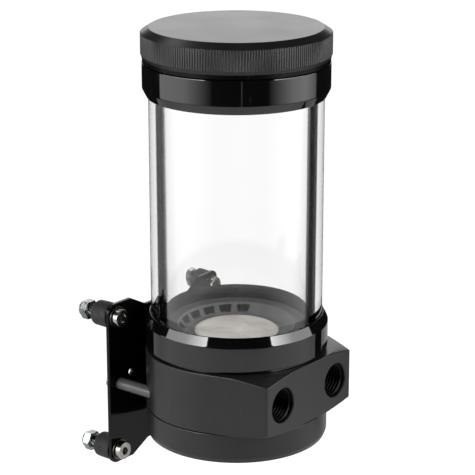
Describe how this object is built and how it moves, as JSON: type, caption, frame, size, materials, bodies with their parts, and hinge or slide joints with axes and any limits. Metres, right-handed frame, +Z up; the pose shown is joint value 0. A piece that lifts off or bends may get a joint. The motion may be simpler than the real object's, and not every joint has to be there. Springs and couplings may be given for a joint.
{
  "type": "hydraulic reservoir",
  "caption": "Upright cylindrical fluid reservoir: glass tube between a screw-capped collar and a ported base, held by a plate bracket with rubber-buffered studs.",
  "frame": {"origin": "middle of the flat underside, on the tube's axis", "axes": "+Z up along the tube, -Y out of the face that holds the ports, +Y towards the bracket, X across the ports"},
  "size_m": [0.071, 0.0907, 0.1738],
  "materials": {
    "satin_black": "satin black anodised",
    "gloss_black": "gloss black",
    "clear_glass": "polished clear",
    "seal_rubber": "matt black",
    "buffer_rubber": "matt dark grey",
    "grey_plastic": "satin dark grey",
    "ivory_plastic": "satin ivory",
    "screw_steel": "bright",
    "zinc_steel": "bright zinc plated"
  },
  "bodies": {
    "reservoir": {"base_body": "satin_black", "spacer_left": "satin_black", "spacer_right": "satin_black", "lower_collar": "gloss_black", "top_collar": "gloss_black", "bracket_plate": "gloss_black", "glass_tube": "clear_glass", "bottom_seal": "seal_rubber", "collar_seal": "seal_rubber", "lower_tube_seal": "seal_rubber", "top_tube_seal": "seal_rubber", "spacer_washer_left": "screw_steel", "spacer_screw_left": "screw_steel", "spacer_washer_right": "screw_steel", "spacer_screw_right": "screw_steel", "buffer_screw_lower_left": "screw_steel", "screw_washer_lower_left": "screw_steel", "rubber_buffer_lower_left": "buffer_rubber", "stud_lower_left": "zinc_steel", "nut_lower_left": "zinc_steel", "buffer_screw_lower_right": "screw_steel", "screw_washer_lower_right": "screw_steel", "rubber_buffer_lower_right": "buffer_rubber", "stud_lower_right": "zinc_steel", "nut_lower_right": "zinc_steel", "buffer_screw_upper_left": "screw_steel", "screw_washer_upper_left": "screw_steel", "rubber_buffer_upper_left": "buffer_rubber", "stud_upper_left": "zinc_steel", "nut_upper_left": "zinc_steel", "buffer_screw_upper_right": "screw_steel", "screw_washer_upper_right": "screw_steel", "rubber_buffer_upper_right": "buffer_rubber", "stud_upper_right": "zinc_steel", "nut_upper_right": "zinc_steel"},
    "cap_carrier": {"cap_seal": "seal_rubber"},
    "screw_cap": {"cap": "satin_black"},
    "cover": {"bottom_cover": "satin_black"},
    "retaining_ring": {"bottom_ring": "satin_black"},
    "strainer": {"strainer_basket": "grey_plastic", "strainer_disc": "ivory_plastic"}
  },
  "joints": [
    {"name": "cap_lift", "type": "slide", "parent": "reservoir", "child": "cap_carrier", "axis": [0, 0, 1], "range_m": [0, 0.008]},
    {"name": "cap_turn", "type": "hinge", "parent": "cap_carrier", "child": "screw_cap", "pos_m": [0, 0, 0.15], "axis": [0, 0, 1], "range_deg": [0, 1440]},
    {"name": "cover_drop", "type": "slide", "parent": "reservoir", "child": "cover", "axis": [0, 0, -1], "range_m": [0, 0.006]},
    {"name": "ring_turn", "type": "hinge", "parent": "cover", "child": "retaining_ring", "pos_m": [0, 0, 0.006], "axis": [0, 0, -1], "range_deg": [0, 1080]},
    {"name": "strainer_lift", "type": "slide", "parent": "reservoir", "child": "strainer", "axis": [0, 0, 1], "range_m": [0, 0.08]}
  ],
  "couplings": [
    {"joint": "cap_lift", "follows": "cap_turn", "m_per_rad": 0.00031831},
    {"joint": "cover_drop", "follows": "ring_turn", "m_per_rad": 0.00031831}
  ]
}
